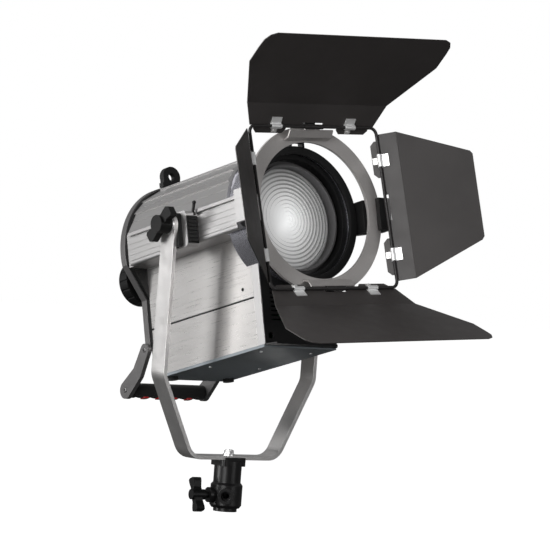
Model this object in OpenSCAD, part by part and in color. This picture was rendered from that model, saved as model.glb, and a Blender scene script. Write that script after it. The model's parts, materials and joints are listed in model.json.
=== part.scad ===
// LED fresnel spotlight on a U-shaped yoke, with a rotating four-leaf barn door.
// Millimetres. +Z is up, the lamp shines towards -Y, and +X is on the right seen from the front.
// The origin is the centre of the stand socket's mouth.
// The head is drawn about its tilt pivot: x across, f forward along the beam, u up.

/* [Stand receiver] */
// Radius of the socket for a 16 mm stand stud
socket_r = 8.1; // [8.05:0.05:8.3]
// Depth of the socket
socket_depth = 50; // [40:1:54]
// Height from the socket's mouth to the underside of the yoke
receiver_h = 65; // [62:1:72]
// Radius of the receiver's lower body
receiver_r = 20; // [18:0.5:22]
// Height of the two cross holes above the mouth
cross_z = 20; // [18:1:24]
// Radius of the clamp screw and its pad
clamp_r = 4; // [3:0.5:5]
// Span of the clamp screw's two wings
clamp_span = 40; // [30:1:50]

/* [Yoke] */
// Half of the outer width across the upright arms
yoke_half_w = 120; // [116:1:130]
// Half of the outer width across the bottom, at the sharp corners
yoke_half_foot = 68.6; // [60:1:80]
// Height over which each arm slants outwards
yoke_slant_h = 101; // [90:1:110]
// Height of the tilt pivot above the yoke's underside
pivot_rise = 286; // [280:1:300]
// Width of the flat bar
bar_w = 26; // [22:1:30]
// Thickness of the flat bar
bar_t = 5; // [4:0.5:5]
// Inner radius of the bar's bends
bend_r = 20; // [12:1:26]

/* [Pose at rest] */
// Nose-up tilt of the head
head_tilt = 15; // [0:1:25]
// Turn of the barn door in its ears, seen from behind
barn_turn = -3.3; // [-10:0.1:10]
// Opening of the top leaf, from straight ahead
top_open = 54; // [30:1:90]
// Opening of the bottom leaf, from straight ahead
bottom_open = 51; // [30:1:90]
// Opening of each side leaf, from straight ahead
side_open = 40; // [20:1:90]

/* [Housing] */
// Height of the optical axis relative to the pivot
axis_u = -5; // [-10:1:0]
// Outer radius of the finned upper housing
dome_r = 90; // [88:1:92]
// Front face of the upper housing
dome_front = 66; // [60:1:70]
// Rear face of the housing, behind the pivot
back_f = -134; // [-140:1:-130]
// Half of the lower box's width
box_half = 56.5; // [54:0.5:60]
// Front face of the lower box
box_front = 88; // [80:1:90]
// Bottom of the side panels
box_low = -162.5; // [-170:0.5:-155]
// Height of the seam between upper and lower side panels
seam_u = -102.7; // [-110:0.1:-95]
// Outer half-width across the side rails
rail_x = 90; // [89:0.5:92]
// Lower edge of the side rails
rail_low = -24.6; // [-26:0.1:-22]
// Upper edge of the side rails
rail_top = 17; // [15:1:18]
// Front end of the side rails
rail_front = 98; // [94:1:100]
// Thickness of the sheet-metal panels
sheet_t = 1.5; // [1:0.1:2]

/* [Lens and hood] */
// Radius of the fresnel lens
lens_r = 64.6; // [60:0.2:66]
// Front of the lens at its rim
lens_f = 86.8; // [84:0.2:90]
// Number of stepped rings on the lens
lens_rings = 9; // [5:1:12]
// Outer radius of the collar around the lens barrel
collar_r = 81; // [80:0.5:82]
// Outer radius of the hood's front flange
hood_r = 85.8; // [84:0.2:86]
// Front face of the hood
hood_f = 113; // [110:1:116]

/* [Barn door] */
// Outer radius of the turning ring
ring_ro = 104; // [100:1:106]
// Inner radius of the turning ring
ring_ri = 85; // [82:1:88]
// Back face of the turning ring
ring_f = 134; // [132:0.5:135]
// Thickness of the turning ring
ring_t = 4; // [3:0.5:4]
// Plane of the wire frame that carries the leaves
wire_f = 155; // [152:0.5:158]
// Half of the wire frame's side
wire_half = 100; // [96:1:104]
// Radius of the wire
wire_r = 2; // [1.5:0.1:2.2]
// Thickness of a leaf
leaf_t = 1; // [0.8:0.1:1.5]
// How far a leaf's tabs reach inside the wire
tab_reach = 10; // [5:0.5:10]

/* [Rear handle] */
// Distance of the grip behind the pivot
grip_f = -191; // [-196:1:-185]
// Height of the grip relative to the pivot
grip_u = -170; // [-174:1:-165]
// Radius of the grip
grip_r = 9.5; // [8:0.5:10.5]

/* [Focus drive] */
// Distance of the lead screw and the lower guide rod from the middle
drive_x = 46; // [44:0.5:47]
// Height of the lead screw and the lower guide rod
drive_u = -36; // [-40:1:-32]
// Radius of the lead screw and of the guide rods
rod_r = 4; // [3:0.5:4]
// Middle plane of the carriage at rest
carriage_f = -30; // [-35:1:-25]

/* [Hidden] */
$fn = 64;

pivot_z = receiver_h + pivot_rise;
arm_in = yoke_half_w - bar_t;
// Clearance of a shaft that turns or slides in its own bore
run = 0.08;
// Azimuths of the spare cross hole and of the clamp screw, seen from above
spare_azimuth = -38;
clamp_azimuth = -98;
// Distance of the clamp pad's face from the socket's axis
pad_face = socket_r + 0.6;
pad_back = 12;
// Tilt joint
stud_r = 5;
disc_in = 108;
disc_out = arm_in - 0.1;
bracket_f = [-25, 20];
bracket_u = [-30, 15];
// Pivot of the rail lock lever, on the left bracket
lever_at = [-93.5, -15, 9];
lever_r = 3.2;
// Rail and ears
rail_t = 6;
ear_half = 20;
ear_out = 115;
ear_end = 145;
lip_in = 97;
// Upper housing
dome_in = 84;
wall_in = 80;
facet_step = 2.2;
facet_angles = [18, 34, 48, 72, 90];
// How far the dome overhangs its lower walls at the front
dome_nose = 4;
// The dome and the rear arch are narrower than they are tall
squash = 0.935;
rail_back = -124;
bead_rail = 2.6;
// Space between the side panels
room = box_half - sheet_t;
// Rear cover and frame
cover_t = 5;
cover_f = back_f - cover_t;
frame_depth = 10;
// Barn door leaves: distances along the sheet and half-widths
inner_len = 29;
wide_len = 68;
outer_len = 116;
top_bend = 24;
bottom_bend = 18.5;
side_inner = 24;
side_len = 90;
side_bend = -10;
// Bead along the bend, a little thicker than the sheet
bead_r = leaf_t / 2 + 0.08;
sheet_off = wire_r + 0.1 + leaf_t / 2;
clip_w = 15.5;
clip_r = wire_r + 1.1;
big_clip_x = 58;
side_clip_x = 59;
// Half-width of the notch that clears the wire's welded sleeve
sleeve_notch = 16;
// Gap between the upper and lower side panels
seam_gap = 2.2;

// ---------------------------------------------------------------- frames

// Places the head's own frame: y is minus the forward distance, z is up
module head() {
    translate([0, 0, pivot_z]) rotate([-head_tilt, 0, 0]) children();
}

// Places the barn door's frame on the optical axis
module barn() {
    head() translate([0, 0, axis_u]) rotate([0, barn_turn, 0]) children();
}

// Stands a flat drawing of (x, u) up at forward distance f, extruded forwards by len
module ahead(f, len) {
    translate([0, -f, 0]) rotate([90, 0, 0]) linear_extrude(len) children();
}

// A cylinder along the beam from forward distance f
module rod_ahead(f, len, r, x = 0, u = axis_u) {
    translate([x, -f, u]) rotate([90, 0, 0]) cylinder(h = len, r = r);
}

// Extrudes a flat drawing of (-f, u) across, from x0 by len
module across(x0, len) {
    translate([x0, 0, 0]) rotate([90, 0, 90]) linear_extrude(len) children();
}

// A cylinder across, from x0 by len, at forward distance f and height u
module rod_across(x0, len, r, f = 0, u = 0) {
    translate([x0, -f, u]) rotate([0, 90, 0]) cylinder(h = len, r = r);
}

module both_sides() {
    children();
    mirror([1, 0, 0]) children();
}

// Box given by its two corners as [x, f, u]
module slab(x, f, u) {
    translate([x[0], -f[1], u[0]]) cube([x[1] - x[0], f[1] - f[0], u[1] - u[0]]);
}

// A turned ring on the optical axis between forward distances f[0] and f[1]
module ring_ahead(f, ro, ri) {
    difference() {
        rod_ahead(f[0], f[1] - f[0], ro);
        rod_ahead(f[0] - 1, f[1] - f[0] + 2, ri);
    }
}

// ---------------------------------------------------------------- outlines

function unit(v) = v / norm(v);
function left_of(v) = [-v.y, v.x];
function edge_dir(p, i) = unit(p[i + 1] - p[i]);

// Point i of an open path, moved sideways by d with mitred corners
function shifted(p, i, d) =
    let (a = left_of(edge_dir(p, max(i - 1, 0))), b = left_of(edge_dir(p, min(i, len(p) - 2))))
    p[i] + d * (a + b) / (1 + a * b);

// Arc of radius r that replaces corner i of path p
function corner_arc(p, i, r) =
    let (a = edge_dir(p, i - 1), b = edge_dir(p, i), turn = acos(a * b),
         c = p[i] + unit(b - a) * r / cos(turn / 2), run_in = r * tan(turn / 2),
         u = unit(p[i] - a * run_in - c), v = unit(p[i] + b * run_in - c))
    [for (k = [0:6]) c + r * unit(u * (1 - k / 6) + v * k / 6)];

function rounded(p, r) = [
    for (i = [0:len(p) - 1])
        each (i == 0 || i == len(p) - 1) ? [p[i]] : corner_arc(p, i, r)
];

function backwards(p) = [for (i = [len(p) - 1:-1:0]) p[i]];

// Outline of a bent strip of thickness t, with path p on its outer face
function bent_strip(p, t, r) =
    let (inner = [for (i = [0:len(p) - 1]) shifted(p, i, t)])
    concat(rounded(p, r + t), backwards(rounded(inner, r)));

module rounded_square(size, r) {
    square([size.x - 2 * r, size.y], center = true);
    square([size.x, size.y - 2 * r], center = true);
    for (sx = [-1, 1], sy = [-1, 1])
        translate([sx * (size.x / 2 - r), sy * (size.y / 2 - r)]) circle(r);
}

// Clapboard profile of the finned dome's right half, from the rail up to the ridge
function dome_edge(side) = [
    for (i = [0:len(facet_angles) - 2], k = [0, 1])
        let (a = facet_angles[i + k], r = dome_r - k * facet_step)
        [side * squash * r * cos(a), axis_u + r * sin(a)]
];

module dome_outline() {
    polygon(concat(
        [[rail_x - rail_t, rail_low], [rail_x - rail_t, rail_top]],
        dome_edge(1), backwards(dome_edge(-1)),
        [[rail_t - rail_x, rail_top], [rail_t - rail_x, rail_low]]));
}

// Everything inside the housing's walls
module interior() {
    intersection() {
        translate([0, axis_u]) scale([squash, 1]) circle(dome_in);
        translate([-dome_in, rail_top]) square([2 * dome_in, dome_in]);
    }
    translate([-wall_in, rail_low + 2]) square([2 * wall_in, rail_top - rail_low - 1.9]);
    translate([-room, box_low]) square([2 * room, rail_low - box_low + 2.1]);
}

// ---------------------------------------------------------------- stand side

yoke_path = [
    [-yoke_half_w, pivot_z], [-yoke_half_w, receiver_h + yoke_slant_h],
    [-yoke_half_foot, receiver_h], [yoke_half_foot, receiver_h],
    [yoke_half_w, receiver_h + yoke_slant_h], [yoke_half_w, pivot_z]
];

module yoke_strap() {
    color("dimgray") difference() {
        union() {
            translate([0, bar_w / 2, 0]) rotate([90, 0, 0]) linear_extrude(bar_w)
                polygon(bent_strip(yoke_path, bar_t, bend_r));
            both_sides() translate([arm_in, 0, pivot_z]) rotate([0, 90, 0])
                cylinder(h = bar_t, r = bar_w / 2);
        }
        translate([-yoke_half_w - 1, 0, pivot_z]) rotate([0, 90, 0])
            cylinder(h = 2 * yoke_half_w + 2, r = stud_r + run);
        translate([0, 0, receiver_h - 1]) cylinder(h = bar_t + 2, r = 4.1);
    }
}

module toward(azimuth, z) {
    translate([0, 0, z]) rotate([90, 0, azimuth]) children();
}

module receiver() {
    flange_h = 8;
    lip_h = 3;
    color("#3c3a3b") difference() {
        union() {
            cylinder(h = 6, r = 14.8);
            translate([0, 0, 4.5]) cylinder(h = 3.5, r1 = 17.5, r2 = receiver_r);
            translate([0, 0, 8]) cylinder(h = 25, r = receiver_r);
            translate([0, 0, 33]) cylinder(h = 3, r1 = receiver_r, r2 = 17.5);
            translate([0, 0, 8]) cylinder(h = receiver_h - 10, r = 17.2);
            translate([0, 0, receiver_h - flange_h]) linear_extrude(flange_h) rounded_square([36, 30], 5);
            for (s = [-1, 1])
                translate([-15, s * (bar_w / 2 + 1.1) - 1, receiver_h - 1]) cube([30, 2, lip_h + 1]);
            toward(spare_azimuth, cross_z) cylinder(h = 23, r = 10);
            toward(clamp_azimuth, cross_z) cylinder(h = 26, r = 9.5);
        }
        translate([0, 0, -1]) cylinder(h = socket_depth + 1, r = socket_r);
        toward(spare_azimuth, cross_z) cylinder(h = 30, r = clamp_r + run);
        toward(spare_azimuth, cross_z) translate([0, 0, 14]) cylinder(h = 15, r = 6.2);
        toward(clamp_azimuth, cross_z) cylinder(h = 30, r = clamp_r + run);
        translate([0, 0, socket_depth - 1]) cylinder(h = receiver_h, r = 4.1);
    }
}

// Receiver bolt with its washer and nut, and the right arm's pivot bolt with its washer
module yoke_fasteners() {
    color("silver") {
        translate([0, 0, receiver_h + bar_t]) difference() {
            cylinder(h = 1.6, r = 7.5);
            translate([0, 0, -1]) cylinder(h = 4, r = 4.2);
        }
        translate([0, 0, socket_depth + 0.5]) cylinder(h = receiver_h + 11.5 - socket_depth, r = 4);
        translate([0, 0, receiver_h + bar_t + 1.7]) difference() {
            cylinder(h = 4.5, r = 6.5, $fn = 6);
            translate([0, 0, -1]) cylinder(h = 8, r = 4.02);
        }
        translate([0, 0, pivot_z]) {
            translate([yoke_half_w, 0, 0]) rotate([0, 90, 0]) difference() {
                cylinder(h = 1.6, r = 10);
                translate([0, 0, -1]) cylinder(h = 4, r = stud_r + run);
            }
            translate([92, 0, 0]) rotate([0, 90, 0]) cylinder(h = yoke_half_w - 89, r = stud_r);
            translate([yoke_half_w + 1.7, 0, 0]) rotate([0, 90, 0]) difference() {
                cylinder(h = 7, r = 8);
                translate([0, 0, 3.5]) cylinder(h = 6, r = 3.5, $fn = 6);
            }
        }
    }
}

module clamp_pad() {
    color("silver") toward(clamp_azimuth, cross_z) translate([0, 0, pad_face])
        cylinder(h = pad_back - pad_face, r = clamp_r);
}

module clamp_screw() {
    wing_w = 11;
    reach = clamp_span / 2;
    color("#2c2b2b") toward(clamp_azimuth, cross_z) {
        translate([0, 0, pad_back + 0.05]) cylinder(h = 21, r = clamp_r);
        translate([0, 0, 31]) cylinder(h = 19, r = 6.5);
        for (s = [-1, 1]) rotate([0, 0, s * 90 + 22]) translate([0, 0, 36])
            linear_extrude(wing_w) polygon([
                [0, -5], [9, -3.6], [reach - 4, -6], [reach, -6.2], [reach + 1.4, -3.5],
                [reach + 1.4, 3.5], [reach, 6.2], [reach - 4, 6], [9, 3.6], [0, 5]]);
    }
}

module tilt_knob_washer() {
    color("silver") head() difference() {
        rod_across(-yoke_half_w - 1.7, 1.6, 12);
        rod_across(-yoke_half_w - 3, 4, stud_r + run);
    }
}

module tilt_knob() {
    hub_r = 11;
    wing_out = 27;
    color("#1d1c1c") head() {
        rod_across(-yoke_half_w - 1.8, 28, stud_r);
        rod_across(-yoke_half_w - 19, 17.2, hub_r);
        for (s = [0, 1]) translate([-yoke_half_w - 15, 0, 0])
            rotate([s * 180 + 61, 0, 0]) rotate([90, 0, 90]) linear_extrude(9) polygon([
                [-7, 0], [-7, 11], [-5.5, 16], [-7.5, wing_out - 3], [-5, wing_out],
                [5, wing_out], [8.5, wing_out - 4], [8, 16], [7, 11], [7, 0]]);
    }
}

// ---------------------------------------------------------------- tilt brackets

module bracket_body(side) {
    corner = 5;
    color("silver") head() mirror([side < 0 ? 1 : 0, 0, 0]) difference() {
        union() {
            across(rail_x + 0.2, disc_in - rail_x - 0.2)
                translate([-(bracket_f[0] + bracket_f[1]) / 2, (bracket_u[0] + bracket_u[1]) / 2])
                rounded_square([bracket_f[1] - bracket_f[0], bracket_u[1] - bracket_u[0]], corner);
            slab([rail_x - 3, rail_x + 1], [-18, 14], [9.6, 12.4]);
        }
        rod_across(91.5, 30, stud_r + run);
        if (side < 0) {
            rod_across(-lever_at.x - 2.4, 4.8, lever_r + run, -lever_at.y, lever_at.z);
            slab([-lever_at.x - 2.2, -lever_at.x + 2.2], [9, 22], [lever_at.z, 16]);
        }
    }
}

module left_bracket() {
    bracket_body(-1);
}

module right_bracket() {
    bracket_body(1);
}

module friction_discs() {
    color("#1b1b1b") head() both_sides() difference() {
        across(disc_in, disc_out - disc_in) translate([0, (bracket_u[0] + bracket_u[1]) / 2])
            rounded_square([23, 42], 4);
        rod_across(disc_in - 1, 10, stud_r + 0.3);
    }
}

// Ribbed black cover on the front of each bracket
module bracket_covers() {
    color("#161616") head() both_sides() {
        slab([rail_x + 1.5, disc_in - 1], [bracket_f[1], bracket_f[1] + 1.5],
             [bracket_u[0] + 4, bracket_u[1] - 7]);
        for (k = [0:6])
            slab([rail_x + 2.5, disc_in - 2], [bracket_f[1] + 1.5, bracket_f[1] + 3],
                 [bracket_u[0] + 5.5 + k * 4.7, bracket_u[0] + 8 + k * 4.7]);
    }
}

module rail_lock_lever() {
    stem = 17;
    color("#161616") head() translate(lever_at) rotate([20, 0, 0]) {
        translate([-2.2, 0, 0]) rotate([0, 90, 0]) cylinder(h = 4.4, r = lever_r);
        cylinder(h = stem, r = 1.9);
        translate([0, 0, stem]) sphere(r = 2.5);
    }
}

// ---------------------------------------------------------------- housing

module upper_housing() {
    slope = 0.33;
    nose = dome_front + dome_nose;
    color("silver") head() difference() {
        ahead(back_f, nose - back_f) dome_outline();
        ahead(back_f - 1, nose - back_f + 2) interior();
        // The front end leans back above the rails, and stops short beside them
        across(-100, 200) polygon([
            [-nose - 5, rail_low - 1], [-dome_front, rail_low - 1], [-dome_front, rail_top],
            [-nose, rail_top], [-nose + slope * (dome_r - rail_top), dome_r], [-nose - 5, dome_r]]);
        // A fine groove along the middle of each facet
        for (s = [-1, 1], i = [0:len(facet_angles) - 3])
            let (a = (facet_angles[i] + facet_angles[i + 1]) / 2,
                 r = (dome_r - facet_step / 2) * cos((facet_angles[i + 1] - facet_angles[i]) / 2))
            ahead(back_f - 1, 300) translate([s * squash * r * cos(a), axis_u + r * sin(a)])
                rotate(90 - s * (90 - a)) translate([1, 0]) square([3, 0.9], center = true);
    }
}

// Long bars that stiffen the sides, each with a T-slot for its bracket and a rounded lower edge
module side_rails() {
    color("silver") head() both_sides() difference() {
        union() {
            slab([rail_x - rail_t, rail_x], [rail_back, rail_front], [rail_low + bead_rail, rail_top]);
            slab([rail_x - rail_t, rail_x - 2.7], [rail_back, rail_front], [rail_low, rail_low + 4]);
            rod_ahead(rail_back, rail_front - rail_back, bead_rail, rail_x - 2.7, rail_low + bead_rail);
        }
        slab([rail_x - 1.8, rail_x + 1], [back_f - 1, rail_front + 1], [9, 13]);
        slab([rail_x - 3.6, rail_x - 1.7], [back_f - 1, rail_front + 1], [8, 14]);
        slab([rail_x - 1, rail_x + 1], [back_f - 1, rail_front + 1], [rail_low + 5, rail_low + 6.2]);
        for (u = [-12.5, -5.5, 1.5])
            slab([rail_x - 0.4, rail_x + 1], [back_f - 1, rail_front + 1], [u, u + 0.8]);
    }
}

module collar_cut() {
    rod_ahead(dome_front, 60, collar_r + 0.1);
}

// Sheet side of the box between two heights and two forward distances
module side_sheet(f, u) {
    difference() {
        slab([room, box_half], f, u);
        collar_cut();
    }
}

module left_side_panel() {
    color("silver") head() mirror([1, 0, 0]) side_sheet([back_f, 74], [seam_u + seam_gap / 2, rail_low]);
}

module right_side_panel() {
    color("silver") head() side_sheet([back_f, 74], [seam_u + seam_gap / 2, rail_low]);
}

module lower_side_panels() {
    color("silver") head() both_sides() side_sheet([back_f, 74], [box_low, seam_u - seam_gap / 2]);
}

module corner_posts() {
    color("silver") head() both_sides() {
        side_sheet([74.4, box_front], [box_low, rail_low]);
    }
}

module base_plate() {
    color("#3f4747") head() {
        slab([-box_half, box_half], [back_f, box_front - 2.1], [box_low - 3.5, box_low]);
    }
}

module base_feet() {
    color("#161616") head() for (x = [-44, 44])
        translate([x, 116, box_low - 7.5]) cylinder(h = 4, r = 7);
}

// Black vented sheet under the lens, with its bottom lip
module front_frame() {
    lip_out = 12;
    color("#1c1c1c") head() {
        difference() {
            slab([-room, room], [box_front - 2, box_front], [box_low, -60]);
            collar_cut();
            for (s = [-1, 1], k = [0:7])
                slab([min(s * 20, s * 42), max(s * 20, s * 42)], [box_front - 3, box_front + 1],
                     [-133 + k * 5.5, -131 + k * 5.5]);
            for (s = [-1, 1]) rod_ahead(box_front - 3, 5, 4, s * 46, -152);
        }
        translate([0, 0, box_low - 1.5]) linear_extrude(2) polygon([
            [-room, -box_front + 2], [-room, -box_front - 0.1], [-box_half, -box_front - 0.1],
            [-box_half + 9, -box_front - lip_out], [box_half - 9, -box_front - lip_out],
            [box_half, -box_front - 0.1], [room, -box_front - 0.1], [room, -box_front + 2]]);
    }
}

// ---------------------------------------------------------------- lens

module front_collar() {
    back = 28;
    covered = dome_front + dome_nose;
    color("#8f9099") head() {
        ring_ahead([covered, 105], collar_r, collar_r - 2);
        difference() {
            ahead(back, covered + 0.5 - back) intersection() {
                translate([0, axis_u]) difference() {
                    circle(collar_r);
                    circle(collar_r - 2);
                }
                offset(-0.3) interior();
            }
            slab([-100, 100], [back - 1, dome_front + 0.1], [-100, rail_top + 8]);
        }
        intersection() {
            ring_ahead([dome_front + 0.2, covered + 0.5], collar_r, collar_r - 2);
            slab([-100, 100], [0, 120], [-100, rail_top - 0.3]);
        }
    }
}

// Black barrel that holds the lens, with the bulkhead that closes the housing's front
module lens_barrel() {
    plate_f = dome_front - 9;
    color("#171717") head() difference() {
        union() {
            difference() {
                ahead(plate_f, 5) intersection() {
                    interior();
                    union() {
                        translate([-100, -110]) square([200, 110 + rail_top]);
                        translate([0, axis_u]) circle(collar_r - 2);
                    }
                }
                rod_ahead(plate_f - 1, 7, 60);
            }
            for (s = [-1, 1]) rod_ahead(plate_f, 5, 7.5, s * drive_x, drive_u);
            ahead(plate_f + 4, dome_front + 0.2 - plate_f - 4) intersection() {
                interior();
                translate([0, axis_u]) difference() {
                    circle(collar_r - 2);
                    circle(72);
                }
            }
            ring_ahead([dome_front + 0.1, 103], collar_r - 2, 72);
            ring_ahead([74, 80], 74, 60);
        }
        rod_ahead(plate_f - 1, 3, rod_r + run, -drive_x, drive_u);
    }
}

// Black rim, with the hinge lugs and pin of the catch
module lens_hood() {
    color("#171717") head() {
        ring_ahead([105.05, hood_f - 4], hood_r, 79);
        ring_ahead([hood_f - 4, hood_f], hood_r, 76.6);
        translate([0, 0, axis_u]) {
            both_sides() slab([8.4, 11.4], [106, 115], [84, 97]);
            rod_across(-11.4, 22.8, 1.5, 111.5, 93);
        }
    }
}

// Half profile of the stepped lens: radius against height above the flat back
function lens_profile(r, n, base) = concat(
    [[0, 0], [r, 0], [r, base]],
    [for (i = [n - 1:-1:0], k = [1, 0])
        let (ro = r * (i + 1) / n, ri = r * i / n, rise = 3.4 * (i + 1) / n)
        k == 1 ? [ro - 0.6, base + 0.4] : [ri + 0.1, base + 0.4 + rise * 0.8]],
    [[0, base + 0.9]]);

module fresnel_lens() {
    color("#e8ecef") head() translate([0, -80.1, axis_u]) rotate([90, 0, 0])
        rotate_extrude() polygon(lens_profile(lens_r, lens_rings, lens_f - 80.1 - 3));
}

module lens_retainer() {
    color("#77767a") head() {
        ring_ahead([88, 97], 67.2, 64.9);
        ring_ahead([80.1, 88.5], 71.9, 64.9);
    }
}

// ---------------------------------------------------------------- accessory ears

// Silver arm that carries each ear out from the rail's front end
module ear_arms() {
    color("silver") head() both_sides() translate([0, 0, axis_u + 0.5 - ear_half])
        linear_extrude(2 * ear_half) polygon([
            [rail_x - rail_t, -rail_front - 0.9], [rail_x, -rail_front - 0.9],
            [ear_out, -126], [ear_out, -ear_end], [ear_out - 4, -ear_end],
            [ear_out - 4, -128], [rail_x - rail_t, -102.6]]);
}

// Black channels that the ring turns in
module ear_channels() {
    gap = 0.4;
    color("#131313") head() both_sides() translate([0, 0, axis_u + 0.5 - ear_half])
        linear_extrude(2 * ear_half) polygon([
            [87, -107.4], [ear_out - 4.05, -128.3], [ear_out - 4.05, -ear_end],
            [lip_in, -ear_end], [lip_in, -ring_f - ring_t - gap], [ring_ro + 1, -ring_f - ring_t - gap],
            [ring_ro + 1, -ring_f + gap], [87, -ring_f + gap + 8]]);
    // Third channel, under the ring
    color("#131313") head() translate([0, 0, axis_u]) across(-13, 26) polygon([
        [-106, -86], [-106, -90], [-122, -109], [-ear_end + 2, -109], [-ear_end + 2, -lip_in],
        [-ring_f - ring_t - gap, -lip_in], [-ring_f - ring_t - gap, -ring_ro - 1],
        [-ring_f + gap, -ring_ro - 1], [-ring_f + gap, -95], [-116, -86]]);
}

// Sprung catch over the top of the ring
module ring_latch() {
    color("#131313") head() translate([0, 0, axis_u]) difference() {
        union() {
            across(-8, 16) polygon([
                [-109, 92], [-109, 98], [-116, 111], [-143.2, 111], [-143.2, 98.4], [-140.4, 98.4],
                [-140.4, 107], [-118, 107], [-114, 92]]);
            rod_across(-8, 16, 3.6, 111.5, 93);
        }
        rod_across(-9, 18, 1.5 + run, 111.5, 93);
    }
}

// ---------------------------------------------------------------- rear

module rear_outline(grow) {
    hip = squash * sqrt(pow(dome_r + grow, 2) - 225) - 0.05;
    intersection() {
        translate([0, axis_u]) scale([squash, 1]) circle(dome_r + grow);
        translate([-120, axis_u - 15]) square([240, 130]);
    }
    polygon([
        [-50, axis_u], [-hip, axis_u - 15], [-57 - grow, -64], [-57 - grow, box_low],
        [57 + grow, box_low], [57 + grow, -64], [hip, axis_u - 15], [50, axis_u]]);
}

module rear_cover() {
    color("#171717") head() difference() {
        ahead(cover_f, cover_t) rear_outline(-1);
        rod_ahead(cover_f - 1, cover_t + 2, rod_r + run, -drive_x, drive_u);
        // Air slots behind the fan
        for (k = [-3:3])
            slab([-28, 28], [cover_f - 1, back_f + 1], [axis_u + k * 8 - 1.5, axis_u + k * 8 + 1.5]);
        // Seats of the controls
        rod_ahead(cover_f - 1, cover_t + 2, 3 + run, 26, -118);
        slab([-36, -14], [cover_f - 1, back_f + 1], [-124, -112]);
        slab([-3.5, 3.5], [cover_f - 1, back_f + 1], [-121.5, -114.5]);
        slab([-14, 14], [cover_f - 1, back_f + 1], [-152, -132]);
    }
}

// Grey arch around the rear, with two uprights that carry the handle
module rear_frame() {
    color("#6b6a6b") head() ahead(cover_f - frame_depth, frame_depth) difference() {
        rear_outline(1);
        rear_outline(-6);
        translate([-100, box_low - 10]) square([200, 45]);
    }
}

module safety_loop() {
    eye_u = 99.8;
    color("#1a1a1a") head() difference() {
        ahead(cover_f - frame_depth + 1, 8) union() {
            translate([0, eye_u]) circle(13.5);
            translate([-15, 86.2]) square([30, 6]);
            translate([-13, 88]) square([26, eye_u - 88]);
        }
        rod_ahead(cover_f - frame_depth - 1, 12, 5, 0, eye_u);
    }
}

// Curved arm from each upright down to the grip
module handle_arms() {
    color("#6b6a6b") head() both_sides() difference() {
        across(58.1, 6) {
            hull() {
                translate([-grip_f, grip_u]) circle(11);
                translate([164, -153]) circle(9);
            }
            hull() {
                translate([164, -153]) circle(9);
                translate([-cover_f + 5, -127]) circle(8);
            }
        }
        rod_across(61, 5, 3, grip_f, grip_u);
    }
}

module handle_grip() {
    waist = 2.2;
    color("#151515") head() difference() {
        translate([-57.9, -grip_f, grip_u]) rotate([0, 90, 0]) cylinder(h = 115.8, r = grip_r);
        for (k = [-2:2]) translate([k * 23, -grip_f, grip_u - grip_r - 7 + waist])
            rotate([90, 0, 0]) translate([0, 0, -15]) cylinder(h = 30, r = 7);
        for (k = [-1.5:1.5]) slab([k * 23 - 4.5, k * 23 + 4.5], [grip_f - 4.5, grip_f + 4.5],
                                  [grip_u - grip_r - 1, grip_u - grip_r + 3]);
    }
}

module grip_inserts() {
    proud = 0.8;
    color("firebrick") head() for (k = [-1.5:1.5])
        translate([k * 23, -grip_f, grip_u - grip_r - proud]) linear_extrude(proud + 2.9)
            rounded_square([8.8, 8.8], 2);
}

// ---------------------------------------------------------------- light source and focus drive

module led_module() {
    color("gold") head() {
        rod_ahead(carriage_f + 3, 2, 26);
        rod_ahead(carriage_f + 5, 1.2, 14);
    }
}

module reflector() {
    color("silver") head() translate([0, -carriage_f - 6.3, axis_u]) rotate([90, 0, 0])
        rotate_extrude() polygon([[16, 0], [18, 0], [31, 18], [29, 18]]);
}

module heat_sink() {
    color("gray") head() {
        rod_ahead(carriage_f - 9, 6, 38);
        for (k = [-5:5]) let (half = sqrt(37.4 * 37.4 - pow(abs(k) * 6.4 + 1, 2)))
            slab([k * 6.4 - 1, k * 6.4 + 1], [carriage_f - 46, carriage_f - 8.9],
                 [axis_u - half, axis_u + half]);
    }
}

module carriage() {
    color("dimgray") head() difference() {
        union() {
            ahead(carriage_f - 3, 6) polygon([
                [-52, -44], [52, -44], [54, -24], [20, 68], [-20, 68], [-54, -24]]);
            rod_ahead(carriage_f - 8, 16, rod_r + 3.5, drive_x, drive_u);
            rod_ahead(carriage_f - 8, 16, rod_r + 3.5, -drive_x, drive_u);
            rod_ahead(carriage_f - 8, 16, rod_r + 3.5, 0, 60);
        }
        rod_ahead(carriage_f - 20, 40, rod_r + run, drive_x, drive_u);
        rod_ahead(carriage_f - 20, 40, rod_r + run, -drive_x, drive_u);
        rod_ahead(carriage_f - 20, 40, rod_r + run, 0, 60);
    }
}

module guide_rods() {
    color("silver") head() {
        rod_ahead(back_f, dome_front - 9 - back_f, rod_r, drive_x, drive_u);
        rod_ahead(back_f, dome_front - 9 - back_f, rod_r, 0, 60);
    }
}

module lead_screw() {
    color("silver") head()
        rod_ahead(cover_f - 8, dome_front - 7.5 - cover_f + 8, rod_r, -drive_x, drive_u);
}

// Focus knob with a folding crank on its back
module focus_knob() {
    knob_f = cover_f - frame_depth - 20;
    knob_r = 30;
    color("#131313") head() difference() {
        union() {
            rod_ahead(knob_f, 16, knob_r, -drive_x, drive_u);
            rod_ahead(knob_f + 16, 13.5, 9, -drive_x, drive_u);
            translate([-drive_x, 0, drive_u]) rotate([0, -50, 0]) {
                slab([0, 22], [knob_f - 5, knob_f + 1], [-4.2, 4.2]);
                translate([23, 0, 0]) rod_ahead(knob_f - 13, 14, 5, 0, 0);
            }
        }
        rod_ahead(cover_f - 8.05, 10, rod_r, -drive_x, drive_u);
        for (k = [0:15]) let (a = k * 22.5)
            rod_ahead(knob_f + 2, 20, 1.5, -drive_x + (knob_r + 0.5) * cos(a), drive_u + (knob_r + 0.5) * sin(a));
    }
}

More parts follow.
